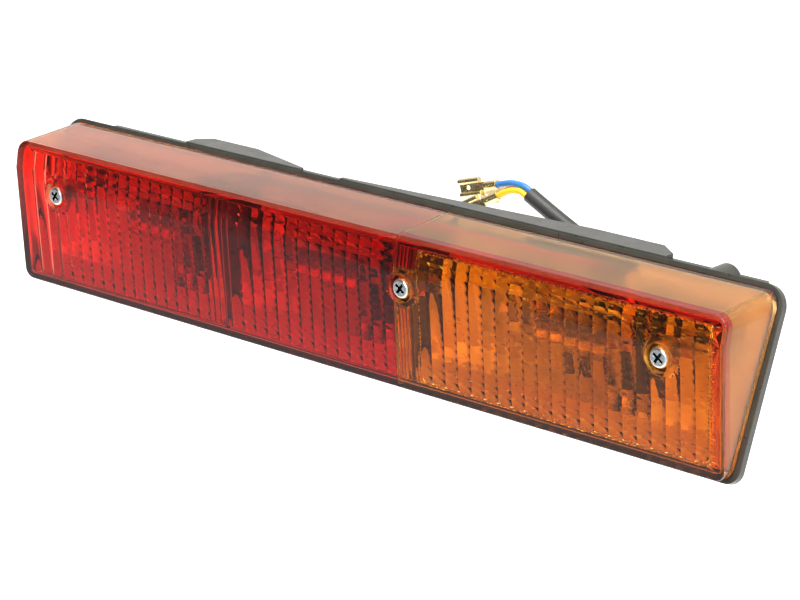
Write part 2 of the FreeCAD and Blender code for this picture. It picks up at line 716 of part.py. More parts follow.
def earth_strap():
    """Strip from the right-hand stud's head down inside the pod and over the floor to the earth bar."""
    x0 = STUD_X - STRAP_HALF_WIDTH
    x1 = STUD_X + STRAP_HALF_WIDTH
    back = -BASE_WALL - STUD_HEAD_H
    low = POD_BOTTOM + BASE_WALL
    upright = box(x0, x1, back - BAR_T, back, low, STUD_HEAD_R)
    forward = box(x0, x1, STRAP_FRONT, back, low, low + BAR_T).common(seat_slab(FLOOR_N - BAR_T, BIG))
    on_floor = to_seat(box(x0, x1, FLOOR_N - BAR_T, FLOOR_N, BAR_V[1], STRAP_TOP_V))
    return fuse_all([upright, forward, on_floor])


def earth_bar():
    """Bar along the floor that joins the three bulb holders' feet."""
    ends = [bulb["centre"] + bulb["cap_end"] + HOLDER_BACK for bulb in BULBS.values()]
    return to_seat(box(min(ends), max(ends) + FOOT_LENGTH, FLOOR_N - BAR_T, FLOOR_N, *BAR_V))


def grommet():
    lip_in = rod_y(GROMMET_LIP_R, -BASE_WALL - GROMMET_LIP_H, -BASE_WALL, EXIT_X, EXIT_Z)
    neck = rod_y(GROMMET_HOLE_R, -BASE_WALL, 0.0, EXIT_X, EXIT_Z)
    lip_out = rod_y(GROMMET_LIP_R, 0.0, GROMMET_LIP_H, EXIT_X, EXIT_Z)
    nose = Part.makeCone(
        GROMMET_HOLE_R,
        GROMMET_NOSE_R,
        GROMMET_NOSE_END - GROMMET_LIP_H,
        vec(EXIT_X, GROMMET_LIP_H, EXIT_Z),
        vec(0, 1, 0),
    )
    whole = fuse_all([lip_in, neck, lip_out, nose])
    for start in GROMMET_GROOVES_Y:
        end = start + GROMMET_GROOVE_W
        ring = rod_y(GROMMET_LIP_R, start, end, EXIT_X, EXIT_Z)
        whole = whole.cut(ring.cut(rod_y(GROMMET_GROOVE_R, start, end, EXIT_X, EXIT_Z)))
    return whole


def cord(name, points, radius):
    """A tube of straight runs and tangent arcs through the route. Prints its radii and checks its volume."""
    route = [vec(*point) for point in points]
    edges = []
    radii = []
    length = 0.0
    here = route[0]
    for before, corner, after in zip(route, route[1:], route[2:]):
        way_in = (corner - before).normalize()
        way_out = (after - corner).normalize()
        turn = way_in.getAngle(way_out)
        shorter = min((corner - before).Length, (after - corner).Length)
        reach = 0.45 * shorter
        radii.append(reach / math.tan(turn / 2))
        start = corner - way_in * reach
        end = corner + way_out * reach
        inward = (way_out - way_in).normalize()
        sag = radii[-1] * (1 / math.cos(turn / 2) - 1)
        edges.append(Part.LineSegment(here, start).toShape())
        edges.append(Part.Arc(start, corner + inward * sag, end).toShape())
        length += (start - here).Length + radii[-1] * turn
        here = end
    edges.append(Part.LineSegment(here, route[-1]).toShape())
    length += (route[-1] - here).Length
    path = Part.Wire(edges)
    ring = Part.Wire(Part.makeCircle(radius, route[0], route[1] - route[0]))
    tube = path.makePipeShell([ring], True, False, 1)
    ideal = math.pi * radius**2 * length
    listed = ", ".join(f"{value:.0f}" for value in radii)
    print(f"{name}: radii {listed} mm, length {length:.0f} mm, volume {tube.Volume / ideal:.3f} of ideal")
    return tube


def sleeve_end_axes():
    """The cable sleeve's end point and two directions across it: upward and along +Y."""
    end = vec(*SLEEVE_ROUTE[-1])
    along = (end - vec(*SLEEVE_ROUTE[-2])).normalize()
    side = (vec(0, 1, 0) - along * along.y).normalize()
    up = along.cross(side)
    if up.z < 0:
        up = up * -1
    return end, up, side


def outer_route(colour):
    (up_share, side_share), middle, end = OUTER_WIRES[colour]
    sleeve_end, up, side = sleeve_end_axes()
    start = sleeve_end + up * (up_share * WIRE_OFFSET) + side * (side_share * WIRE_OFFSET)
    along = (sleeve_end - vec(*SLEEVE_ROUTE[-2])).normalize()
    return [start, start + along * OUTER_STRAIGHT, vec(*middle), vec(*end)]


def inner_route(colour):
    chamber, (side_x, side_z), last_run = INNER_WIRES[colour]
    bulb = BULBS[chamber]
    leaf_back = bulb["centre"] + bulb["cap_end"] + TIP_H + DISC_H + LEAF_SPAN + LEAF_T
    lug_x = leaf_back + LUG_OFFSET + LUG_T / 2
    lug_z = BULB_Z + LUG_TOP
    end_x = EXIT_X + side_x * WIRE_OFFSET
    end_z = EXIT_Z + side_z * WIRE_OFFSET
    end_y = -BASE_WALL - GROMMET_LIP_H
    start = [(lug_x, BULB_Y, lug_z), (lug_x, BULB_Y, lug_z + LUG_RISE)]
    end = [(end_x, end_y - last_run, end_z), (end_x, end_y, end_z)]
    return start + INNER_ROUTES[colour] + end


def terminal(colour):
    """Push-on blade receptacle: crimped barrel, neck, and a flat floor between two rolled edges."""
    before, end = outer_route(colour)[-2:]
    length = TERMINAL_LENGTH
    half = TERMINAL_HALF_WIDTH
    floor_y = BLADE_HALF[0]
    barrel = rod_x(BARREL_R, -BARREL_LENGTH, 0.0, 0.0, 0.0)
    crimp_x = (-BARREL_LENGTH + CRIMP_FROM_ENDS[0], -CRIMP_FROM_ENDS[1])
    crimp = box(*crimp_x, -BARREL_R - OVERCUT, CRIMP_START, -CRIMP_HALF_WIDTH, CRIMP_HALF_WIDTH)
    neck_x = (-SOCKET_START - NECK_OVERLAPS[0], -BARREL_LENGTH + NECK_OVERLAPS[1])
    neck_half = TERMINAL_NECK_HALF
    neck = box(*neck_x, floor_y, floor_y + TERMINAL_SHEET, -neck_half, neck_half)
    floor = box(-length, -SOCKET_START, floor_y, floor_y + TERMINAL_SHEET, -half, half)
    whole = fuse_all([barrel.cut(crimp), neck, floor])
    for side in (-1, 1):
        roll_z = side * (half - TERMINAL_ROLL_R)
        roll = rod_x(TERMINAL_ROLL_R, -length + ROLL_FROM_TIP, -SOCKET_START, ROLL_Y, roll_z)
        whole = whole.fuse(roll)
    blade_y, blade_z = BLADE_HALF
    blade_x = (-length - OVERCUT, -SOCKET_START - BLADE_STOP)
    whole = whole.cut(box(*blade_x, -blade_y, blade_y, -blade_z, blade_z))
    whole = whole.cut(rod_y(DIMPLE_R, -half, half, -length + DIMPLE_FROM_TIP, 0.0))
    whole.Placement = Placement(end, Rotation(vec(-1, 0, 0), end - before))
    return whole


def all_parts():
    parts = {"base_housing": base_housing(), "lens_seal": lens_seal(), "lens_screws": lens_screws()}
    parts.update(lens_parts())
    for name, bulb in BULBS.items():
        parts[f"reflector_{name}"] = reflector(CHAMBERS[name], bulb)
        parts[f"bulb_holder_{name}"] = holder(bulb)
        parts[f"contact_disc_{name}"] = contact_disc(bulb)
        parts[f"contact_leaf_{name}"] = contact_leaf(bulb)
        parts[f"leaf_insulator_{name}"] = leaf_insulator(bulb)
        parts[f"bulb_glass_{name}"] = bulb_glass(bulb)
        parts[f"bulb_cap_{name}"] = bulb_cap(bulb)
        parts[f"bulb_filament_{name}"] = bulb_filament(bulb)
    parts["mount_studs"] = mount_studs()
    parts["earth_strap"] = earth_strap()
    parts["earth_bar"] = earth_bar()
    parts["cable_grommet"] = grommet()
    parts["cable_sleeve"] = cord("cable_sleeve", SLEEVE_ROUTE, SLEEVE_R)
    for colour in OUTER_WIRES:
        parts[f"wire_{colour}"] = cord(f"wire_{colour}", outer_route(colour), WIRE_R)
        parts[f"terminal_{colour}"] = terminal(colour)
        parts[f"inner_wire_{colour}"] = cord(f"inner_wire_{colour}", inner_route(colour), WIRE_R)
    return parts


def main():
    os.makedirs("parts", exist_ok=True)
    for name, shape in all_parts().items():
        if not shape.isValid():
            print(name, "is not valid")
        print(f"{name}: {len(shape.Solids)} solid, {shape.Volume:.0f} mm3, box {shape.BoundBox}")
        shape.exportStep(f"parts/{name}.step")


main()
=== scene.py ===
import json
import math

import bmesh
import bpy
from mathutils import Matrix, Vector
from mathutils.geometry import delaunay_2d_cdt


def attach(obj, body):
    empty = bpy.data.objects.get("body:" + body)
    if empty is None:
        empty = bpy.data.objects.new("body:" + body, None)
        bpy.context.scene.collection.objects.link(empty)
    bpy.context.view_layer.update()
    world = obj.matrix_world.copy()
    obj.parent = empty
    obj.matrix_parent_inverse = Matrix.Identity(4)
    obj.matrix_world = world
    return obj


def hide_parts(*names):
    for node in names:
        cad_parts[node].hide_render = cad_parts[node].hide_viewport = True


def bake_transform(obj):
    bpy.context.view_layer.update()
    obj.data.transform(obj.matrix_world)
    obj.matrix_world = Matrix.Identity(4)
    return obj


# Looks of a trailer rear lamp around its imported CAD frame.
# Meshes are drawn in millimetres and scaled to metres as each piece is made.
# X runs along the lamp, -Y is the side that shines, +Z is up.

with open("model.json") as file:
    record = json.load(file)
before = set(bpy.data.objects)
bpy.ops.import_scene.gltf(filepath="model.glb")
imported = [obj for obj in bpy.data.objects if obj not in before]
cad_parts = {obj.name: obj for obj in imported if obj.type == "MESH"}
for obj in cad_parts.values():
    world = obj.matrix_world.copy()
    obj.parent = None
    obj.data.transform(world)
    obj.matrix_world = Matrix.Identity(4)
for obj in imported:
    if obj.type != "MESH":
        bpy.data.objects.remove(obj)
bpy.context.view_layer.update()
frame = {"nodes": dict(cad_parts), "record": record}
MM = 0.001
MERGE = 2e-6  # points closer than this, in metres, become one
TINY = 1e-7

# Lens, as the CAD lens has it
LENS_HALF = 170.0
LENS_TOP = 18.0
LENS_BOTTOM = -39.0
TOP_CORNER = 5.0
BOTTOM_CORNER = 4.0
CORNER_STEPS = 7
LEAST_CORNER = 0.8
LENS_DRAFT = 0.075
END_DRAFT = 0.03
LENS_WALL = 2.5
FRONT_Y = -42.0
FRONT_PROFILE = [(18.6, -42.0), (7.0, -44.1), (-36.5, -41.2), (-46.0, -40.6)]
KINK_Z = 7.0
EDGE_ROUND = 0.45
EDGE_STEPS = 4
INNER_EDGE_ROUND = 0.3
INNER_EDGE_STEPS = 2
SETTLE_ROUNDS = 4
KINK_INSET = 6.0
LENS_SMOOTH_ANGLE = 20.0
SEAT_Y = -21.0
SEAT_SLOPE = math.tan(math.radians(22.0))
SEAT_GAP = 0.65
SPLIT_X = 29.0
SPLIT_GAP = 0.04

# Optics moulded inside the lens, in zones: low and high X, how many flutes, their height,
# and whether rows cross them
ZONES = [
    (-166.0, -148.0, 3, 0.8, False),
    (-148.0, -66.0, 14, 0.5, True),
    (-66.0, -54.0, 4, 0.6, False),
    (-54.0, 29.0, 14, 0.5, True),
    (29.0, 38.4, 6, 0.3, False),
    (38.4, 163.7, 21, 0.5, True),
]
# Bands of rows up the lens: low and high Z, how many rows, and their height
ROW_BANDS = [(-35.0, -28.5, 2, 0.3), (-28.5, 7.0, 11, 0.15), (7.0, 13.7, 2, 0.34)]
FLUTE_STEPS = 6
ROW_STEPS = 4
WINDOW_Z = (-35.0, 13.7)
SERRATION_X = (164.4, 167.4)
SERRATIONS = 24
SERRATION_HEIGHT = 0.5
SERRATION_GAPS = (0.15, 0.1)

# The bead round the amber window: a rounded rectangle
BEAD_X = (38.4, 163.7)
BEAD_Z = (-35.0, 13.7)
BEAD_CORNER = 4.0
BEAD_HALF = 0.6
BEAD_HEIGHT = 0.6
BEAD_STEPS = (80, 28)  # along and up
BEAD_GAP = 0.1

# Lens screws, their recesses and pillars
SCREW_X = (-148.5, 31.5, 143.5)
SCREW_Z = -1.3
RECESS_R = 5.25
RECESS_FLOOR = -40.8
CUP_R = 6.8
CUP_END = -38.8
CUP_PLAIN = 0.6
CUP_GAP = 0.5
PILLAR_R = 4.0
PILLAR_END = -24.0
HOLE_R = 1.85
HEAD_FACE = -0.0432
CROSS_R = 0.0025
CROSS_SHADE_START = 0.00015
ROUND_STEPS = 32

# Contact leaves: where each one meets its contact disc, and the size of its strip, pin and lug
LEAF_START_X = {"tail": -92.2, "stop": -0.7, "indicator": 112.3}
LEAF_SPAN = 4.9
LEAF_T = 0.4
LEAF_HALF_WIDTH = 2.5
LEAF_ROUNDS = 3
LEAF_BENDS = [(0.2, -2.5), (0.2, 2.3), (5.1, -3.5), (5.1, 3.6)]  # X from the disc, Y from the bulb's axis
BULB_Y = -27.6
BULB_Z = -4.0
LUG_PIN_R = 1.2
LUG_X = (9.1, 9.9)
LUG_HALF_WIDTH = 3.0
LUG_TOP = 9.0

# Cable: the route is part.py's, in metres
SLEEVE_ROUTE = [
    (0.104, 0.007, -0.0105),
    (0.104, 0.018, -0.0105),
    (0.0995, 0.0295, -0.0097),
    (0.0895, 0.0374, -0.0084),
    (0.075, 0.0406, -0.006),
    (0.058, 0.0398, -0.0018),
    (0.0405, 0.0395, 0.0053),
    (0.0237, 0.039, 0.0142),
]
SLEEVE_D = 0.006
SLEEVE_STEPS_ALONG = 16
SLEEVE_STEPS_ROUND = 6

# Where the amber lens is red, in metres: each pair is where the red starts and where it is full
FRONT_ZONE = 0.8  # millimetres beyond the wall that still count as the front
RED_STRIP_Z = (0.0138, 0.0144)
RED_EDGE_X = (0.1643, 0.1652)
RED_EDGE_Z = (-0.039, 0.012)
RED_EDGE_SHARES = (0.5, 1.0)
RED_EDGE_MOST = 0.8
RED_FOOT_Z = (-0.035, -0.0358)
RED_FOOT_MOST = 0.35
RED_FLUTES_X = (0.0, 0.0384)
RED_FLUTES_Z = (0.0068, 0.0072)

# Camera, floor and lights
CAMERA_AT = (0.6456, -0.7411, 0.2967)
CAMERA_WAY = (-0.628, 0.714, -0.309)
CAMERA_LENS = 125.06
CAMERA_SENSOR = 36.0
FLOOR_Z = -0.3
FLOOR_EDGES = (-1.8, 1.2, -0.25, 2.4)  # low and high X, low and high Y
FLOOR_GLOW = 0.45
DARK_SIDE = (-0.52, -0.78, 0.35)
WORLD_RAMP = [(0.45, 1.08), (0.92, 0.12)]  # how far towards the dark side, and how bright it is there
LIGHTS = {  # place, size and power of each area light; all of them point at the origin
    "key": ((0.35, -0.45, 1.1), (0.9, 0.9), 13.0),
    "top": ((-0.1, -0.05, 1.3), (1.0, 0.8), 14.0),
    "front": ((0.2, -1.2, 0.35), (0.7, 0.5), 7.0),
}


# Mesh building

class Shape:
    """Points and faces gathered in millimetres. Points that meet are merged at the end."""

    def __init__(self):
        self.points = []
        self.faces = []

    def add(self, points, faces):
        first = len(self.points)
        self.points.extend(points)
        self.faces.extend([tuple(first + index for index in face) for face in faces])

    def loft(self, rings):
        """Faces between rings that follow each other."""
        count = len(rings[0])
        points = [point for ring in rings for point in ring]
        faces = []
        for level in range(len(rings) - 1):
            for index in range(count):
                after = (index + 1) % count
                low = level * count
                faces.append((low + index, low + after, low + count + after, low + count + index))
        self.add(points, faces)

    def piece(self, name, material, smooth_angle=30.0):
        """Turns the shape into an object, smooth except at edges sharper than smooth_angle."""
        mesh = bpy.data.meshes.new(name)
        mesh.from_pydata([tuple(value * MM for value in point) for point in self.points], [], self.faces)
        bm = bmesh.new()
        bm.from_mesh(mesh)
        bmesh.ops.remove_doubles(bm, verts=bm.verts, dist=MERGE)
        bmesh.ops.dissolve_degenerate(bm, edges=bm.edges, dist=TINY)
        bmesh.ops.recalc_face_normals(bm, faces=bm.faces)
        for face in bm.faces:
            face.smooth = True
        bm.to_mesh(mesh)
        bm.free()
        mesh.set_sharp_from_angle(angle=math.radians(smooth_angle))
        mesh.materials.append(material)
        piece = bpy.data.objects.new(name, mesh)
        bpy.context.scene.collection.objects.link(piece)
        return piece


def flat(ring):
    """A ring's X and Z."""
    return [(point[0], point[2]) for point in ring]


def circle(radius, x, z, y):
    """A ring of points about the Y direction. y is a number or a function of z."""
    ring = []
    for step in range(ROUND_STEPS):
        angle = 2 * math.pi * step / ROUND_STEPS
        px = x + radius * math.cos(angle)
        pz = z + radius * math.sin(angle)
        ring.append((px, y(pz) if callable(y) else y, pz))
    return ring


def fill(outline, holes, inside):
    """Triangles that fill a flat outline around its holes, using the inside points too."""
    points = []
    edges = []
    for loop in [outline] + holes:
        first = len(points)
        points.extend(loop)
        count = len(loop)
        edges.extend((first + index, first + (index + 1) % count) for index in range(count))
    points.extend(inside)
    made = delaunay_2d_cdt([Vector(point) for point in points], edges, [], 0, TINY)
    vertices = made[0]
    faces = made[2]
    kept = []
    for face in faces:
        x = sum(vertices[index][0] for index in face) / 3
        z = sum(vertices[index][1] for index in face) / 3
        if within(x, z, outline) and not any(within(x, z, hole) for hole in holes):
            kept.append(face)
    return [(vertex[0], vertex[1]) for vertex in vertices], kept


def within(x, z, loop):
    """Whether a point lies inside a closed outline."""
    inside = False
    for (xa, za), (xb, zb) in zip(loop, loop[1:] + loop[:1]):
        if (za > z) != (zb > z) and x < (xb - xa) * (z - za) / (zb - za) + xa:
            inside = not inside
    return inside


# Lens

def front_y(z):
    """The lens's front face in Y at height z."""
    for (z_high, y_high), (z_low, y_low) in zip(FRONT_PROFILE, FRONT_PROFILE[1:]):
        if z >= z_low:
            return y_low + (z - z_low) * (y_high - y_low) / (z_high - z_low)
    return FRONT_PROFILE[-1][1]


def lens_outline(inset):
    """Points round the lens, each with its outward direction, counter-clockwise from the lower right."""
    half = LENS_HALF - inset
    low_r = max(BOTTOM_CORNER - inset, LEAST_CORNER)
    high_r = max(TOP_CORNER - inset, LEAST_CORNER)
    low = LENS_BOTTOM + inset
    high = LENS_TOP - inset
    corners = [
        (half - low_r, low + low_r, low_r, -90),
        (half - high_r, high - high_r, high_r, 0),
        (-half + high_r, high - high_r, high_r, 90),
        (-half + low_r, low + low_r, low_r, 180),
    ]
    points = []
    for index, (x, z, r, first) in enumerate(corners):
        for step in range(CORNER_STEPS + 1):
            angle = math.radians(first + 90 * step / CORNER_STEPS)
            out_x = math.cos(angle)
            out_z = math.sin(angle)
            points.append((x + r * out_x, z + r * out_z, out_x, out_z))
        if index == 0:
            points.append((half, KINK_Z, 1.0, 0.0))
        if index == 2:
            points.append((-half, KINK_Z, -1.0, 0.0))
    return points


def drafted(point, y, inward=0.0):
    """Where an outline point lies at depth y, moved inward."""
    x, z, out_x, out_z = point
    depth = y - FRONT_Y
    return (
        x + out_x * (END_DRAFT * depth - inward),
        y,
        z + out_z * (LENS_DRAFT * depth - inward),
    )


def edge_ring(outline, behind, radius, angle):
    """One ring of the rounded edge between front face and walls. Angle 90 lies on the front face."""
    inward = radius * (1 - math.cos(angle))
    back = radius * (1 - math.sin(angle))
    ring = []
    for point in outline:
        y = FRONT_Y
        for _ in range(SETTLE_ROUNDS):
            y = front_y(drafted(point, y, inward)[2]) + behind + back
        ring.append(drafted(point, y, inward))
    return ring


def rim_ring(outline):
    """The ring where the walls end, on the slanted seat."""
    ring = []
    for point in outline:
        x, z, out_x, out_z = point
        slope = SEAT_SLOPE * out_z * LENS_DRAFT
        y = (SEAT_Y - SEAT_GAP + SEAT_SLOPE * z - slope * FRONT_Y) / (1 - slope)
        ring.append(drafted(point, y))
    return ring


def skin_rings(inset, behind, radius, steps):
    """Rings of one skin of the lens, from the rounded front edge to the rim."""
    outline = lens_outline(inset)
    rings = []
    for step in range(steps + 1):
        rings.append(edge_ring(outline, behind, radius, math.pi / 2 * (1 - step / steps)))
    rings.append(rim_ring(outline))
    return rings


def zone_at(x):
    """The zone of optics at a place along the lens, or None."""
    for zone in ZONES:
        if zone[0] <= x <= zone[1]:
            return zone
    return None


def dome(value, low, high, count):
    """1 at the middle of each of count equal stretches between low and high, 0 where they meet."""
    share = (value - low) / (high - low) * count % 1.0
    return 1 - (2 * share - 1) ** 2


def bead_distance(x, z):
    """How far a point is from the middle line of the bead round the amber window."""
    middle_x = (BEAD_X[0] + BEAD_X[1]) / 2
    middle_z = (BEAD_Z[0] + BEAD_Z[1]) / 2
    out_x = abs(x - middle_x) - (BEAD_X[1] - BEAD_X[0]) / 2 + BEAD_CORNER
    out_z = abs(z - middle_z) - (BEAD_Z[1] - BEAD_Z[0]) / 2 + BEAD_CORNER
    outside = math.hypot(max(out_x, 0.0), max(out_z, 0.0))
    return abs(outside + min(max(out_x, out_z), 0.0) - BEAD_CORNER)


def relief(x, z):
    """How much thicker the lens is at a point, from the optics moulded on its inside."""
    bead = bead_distance(x, z)
    if bead < BEAD_HALF:
        return BEAD_HEIGHT * (1 - (bead / BEAD_HALF) ** 2)
    if SERRATION_X[0] <= x <= SERRATION_X[1] and WINDOW_Z[0] <= z <= WINDOW_Z[1]:
        return SERRATION_HEIGHT * dome(z, *WINDOW_Z, SERRATIONS)
    zone = zone_at(x)
    near_screw = min(math.hypot(x - screw, z - SCREW_Z) for screw in SCREW_X)
    if zone is None or near_screw < CUP_R + CUP_PLAIN or not WINDOW_Z[0] <= z <= WINDOW_Z[1]:
        return 0.0
    low, high, count, height, rows = zone
    thick = height * dome(x, low, high, count)
    if rows:
        for row_low, row_high, row_count, row_height in ROW_BANDS:
            if row_low <= z <= row_high:
                thick += row_height * dome(z, row_low, row_high, row_count)
    return thick


def steps_between(bands, steps):
    """Values over bands of (low, high, count), with so many steps to each stretch of a band."""
    values = set()
    for low, high, count in bands:
        for index in range(count * steps + 1):
            values.add(round(low + (high - low) * index / (count * steps), 5))
    return sorted(values)


def optics_points():
    """Points on the lens's inside where the optics need them."""
    xs = steps_between([zone[:3] for zone in ZONES], FLUTE_STEPS)
    zs = steps_between([row[:3] for row in ROW_BANDS], ROW_STEPS)
    points = []
    for x in xs:
        for z in zs:
            near_screw = min(math.hypot(x - screw, z - SCREW_Z) for screw in SCREW_X)
            if near_screw > CUP_R + CUP_GAP and bead_distance(x, z) > BEAD_HALF + BEAD_GAP:
                points.append((x, z))
    low_gap, high_gap = SERRATION_GAPS
    for x in (SERRATION_X[0] + BEAD_HALF + low_gap, SERRATION_X[1] - high_gap):
        for z in steps_between([(*WINDOW_Z, SERRATIONS)], ROW_STEPS):
            points.append((x, z))
    return points + bead_points()


def bead_points():
    """Five lines of points along the bead."""
    points = []
    low_x = BEAD_X[0] + BEAD_CORNER
    high_x = BEAD_X[1] - BEAD_CORNER
    low_z = BEAD_Z[0] + BEAD_CORNER
    high_z = BEAD_Z[1] - BEAD_CORNER
    corners = [(high_x, low_z, -90), (high_x, high_z, 0), (low_x, high_z, 90), (low_x, low_z, 180)]
    steps_along, steps_up = BEAD_STEPS
    for offset in (-BEAD_HALF, -BEAD_HALF / 2, 0.0, BEAD_HALF / 2, BEAD_HALF):
        radius = BEAD_CORNER + offset
        for x, z, first in corners:
            for step in range(CORNER_STEPS + 1):
                angle = math.radians(first + 90 * step / CORNER_STEPS)
                points.append((x + radius * math.cos(angle), z + radius * math.sin(angle)))
        for x in steps_between([(low_x, high_x, steps_along)], 1):
            points.extend([(x, low_z - radius), (x, high_z + radius)])
        for z in steps_between([(low_z, high_z, steps_up)], 1):
            points.extend([(low_x - radius, z), (high_x + radius, z)])
    return points


def lens_shape():
    """The whole lens: both skins, the optics, the rim, and the screws' recesses and pillars."""
    shape = Shape()
    outer = skin_rings(0.0, 0.0, EDGE_ROUND, EDGE_STEPS)
    inner = skin_rings(LENS_WALL, LENS_WALL, INNER_EDGE_ROUND, INNER_EDGE_STEPS)
    shape.loft(outer)
    shape.loft(inner)
    shape.loft([outer[-1], inner[-1]])

    recesses = [flat(circle(RECESS_R, x, SCREW_Z, 0.0)) for x in SCREW_X]
    kinks = [(-LENS_HALF + KINK_INSET, KINK_Z), (LENS_HALF - KINK_INSET, KINK_Z)]
    points, faces = fill(flat(outer[0]), recesses, kinks)
    shape.add([(x, front_y(z), z) for x, z in points], faces)

    cups = [flat(circle(CUP_R, x, SCREW_Z, 0.0)) for x in SCREW_X]
    points, faces = fill(flat(inner[0]), cups, optics_points())
    shape.add([(x, front_y(z) + LENS_WALL + relief(x, z), z) for x, z in points], faces)

    for x in SCREW_X:
        shape.loft([
            circle(RECESS_R, x, SCREW_Z, front_y),
            circle(RECESS_R, x, SCREW_Z, RECESS_FLOOR),
            circle(HOLE_R, x, SCREW_Z, RECESS_FLOOR),
            circle(HOLE_R, x, SCREW_Z, PILLAR_END),
            circle(PILLAR_R, x, SCREW_Z, PILLAR_END),
            circle(PILLAR_R, x, SCREW_Z, CUP_END),
            circle(CUP_R, x, SCREW_Z, CUP_END),
            circle(CUP_R, x, SCREW_Z, lambda z: front_y(z) + LENS_WALL),
        ])
    return shape


def cut_at(piece, x, keep_left):
    """Cuts a closed mesh at a plane of constant X and closes the cut."""
    bm = bmesh.new()
    bm.from_mesh(piece.data)
    made = bmesh.ops.bisect_plane(
        bm,
        geom=bm.verts[:] + bm.edges[:] + bm.faces[:],
        dist=TINY,
        plane_co=(x * MM, 0, 0),
        plane_no=(1, 0, 0),
        clear_outer=keep_left,
        clear_inner=not keep_left,
    )
    edges = [item for item in made["geom_cut"] if isinstance(item, bmesh.types.BMEdge)]
    bmesh.ops.triangle_fill(bm, use_beauty=True, use_dissolve=False, edges=edges, normal=(1, 0, 0))
    bmesh.ops.recalc_face_normals(bm, faces=bm.faces)
    bm.to_mesh(piece.data)
    bm.free()
    piece.data.set_sharp_from_angle(angle=math.radians(LENS_SMOOTH_ANGLE))


# Materials

class Look:
    """A material of nodes round one Principled shader. Its places are the piece's own and move with it."""

    def __init__(self, name, **settings):
        self.material = bpy.data.materials.new(name)
        self.material.use_nodes = True
        self.tree = self.material.node_tree
        self.shader = self.tree.nodes["Principled BSDF"]
        for socket, value in settings.items():
            self.shader.inputs[socket.replace("_", " ")].default_value = value
        self.where = self.node("ShaderNodeTexCoord").outputs["Object"]

    def node(self, kind, inputs=None, **settings):
        made = self.tree.nodes.new(kind)
        for name, value in settings.items():
            setattr(made, name, value)
        for name, value in (inputs or {}).items():
            self.give(made.inputs[name], value)
        return made

    def give(self, socket, value):
        if isinstance(value, bpy.types.NodeSocket):
            self.tree.links.new(value, socket)
        else:
            socket.default_value = value

    def noise(self, scale, detail=4.0):
        made = self.node("ShaderNodeTexNoise", {"Vector": self.where, "Scale": scale, "Detail": detail})
        return made.outputs["Fac"]

    def span(self, value, low, high, from_low=0.3, from_high=0.7):
        """Takes from_low to from_high to low to high, and stays at the ends beyond them."""
        made = self.node(
            "ShaderNodeMapRange",
            {"Value": value, "From Min": from_low, "From Max": from_high, "To Min": low, "To Max": high},
        )
        return made.outputs["Result"]

    def mix(self, share, first, second):
        made = self.node("ShaderNodeMix", data_type="RGBA")
        for socket, value in zip((0, 6, 7), (share, first, second)):
            self.give(made.inputs[socket], value)
        return made.outputs[2]

    def mix_numbers(self, share, first, second):
        made = self.node("ShaderNodeMix", data_type="FLOAT")
        for socket, value in zip((0, 2, 3), (share, first, second)):
            self.give(made.inputs[socket], value)
        return made.outputs[0]

    def math(self, operation, first, second=0.0):
        made = self.node("ShaderNodeMath", operation=operation)
        self.give(made.inputs[0], first)
        self.give(made.inputs[1], second)
        return made.outputs[0]

    def axis(self, name):
        parts = self.node("ShaderNodeSeparateXYZ", {"Vector": self.where})
        return parts.outputs[name]

    def bump(self, height, distance, strength, under=None):
        inputs = {"Height": height, "Distance": distance, "Strength": strength}
        if under is not None:
            inputs["Normal"] = under
        made = self.node("ShaderNodeBump", inputs)
        return made.outputs[0]

    def worn_edges(self, radius):
        """Normals that round the edges a little."""
        return self.node("ShaderNodeBevel", {"Radius": radius}, samples=4).outputs[0]

    def set(self, socket, value):
        self.give(self.shader.inputs[socket], value)


def rgb(red, green, blue):
    return (red, green, blue, 1.0)


def band(look, value, low, high, soft=0.0003):
    """1 between low and high, falling to 0 over a soft edge."""
    rise = look.span(value, 0.0, 1.0, low - soft, low + soft)
    fall = look.span(value, 1.0, 0.0, high - soft, high + soft)
    return look.math("MULTIPLY", rise, fall)


def facing(look, axis, least=0.55, soft=0.05):
    """1 on faces that look along an axis, either way."""
    normal = look.node("ShaderNodeNewGeometry").outputs["True Normal"]
    share = look.node("ShaderNodeSeparateXYZ", {"Vector": normal}).outputs[axis]
    return look.span(look.math("ABSOLUTE", share), 0.0, 1.0, least - soft, least + soft)


def near_front(look):
    """1 within a wall's thickness of the lens's front face."""
    (top_z, top_y), (kink_z, kink_y), (low_z, low_y) = FRONT_PROFILE[:3]
    above = look.math("SUBTRACT", look.axis("Z"), kink_z * MM)
    upper = look.math("MULTIPLY", above, (top_y - kink_y) / (top_z - kink_z))
    lower = look.math("MULTIPLY", above, (low_y - kink_y) / (low_z - kink_z))
    face = look.math("ADD", look.math("MAXIMUM", upper, lower), kink_y * MM)
    depth = look.math("SUBTRACT", look.axis("Y"), face)
    return look.math("LESS_THAN", depth, (LENS_WALL + FRONT_ZONE) * MM)


def amber_red_share(look):
    """Where the amber lens is red: above its window, at its right edge and foot, and over the flutes."""
    x = look.axis("X")
    z = look.axis("Z")
    top = look.span(z, 0.0, 1.0, *RED_STRIP_Z)
    edge = look.span(x, 0.0, RED_EDGE_MOST, *RED_EDGE_X)
    edge = look.math("MULTIPLY", edge, look.span(z, *RED_EDGE_SHARES, *RED_EDGE_Z))
    foot_start, foot_full = RED_FOOT_Z
    bottom = look.span(z, RED_FOOT_MOST, 0.0, foot_full, foot_start)
    above_kink = look.span(z, 0.0, 1.0, *RED_FLUTES_Z)
    flutes = look.math("MULTIPLY", band(look, x, *RED_FLUTES_X), above_kink)
    most = look.math("MAXIMUM", look.math("MAXIMUM", top, edge), look.math("MAXIMUM", bottom, flutes))
    return look.math("MULTIPLY", most, near_front(look))


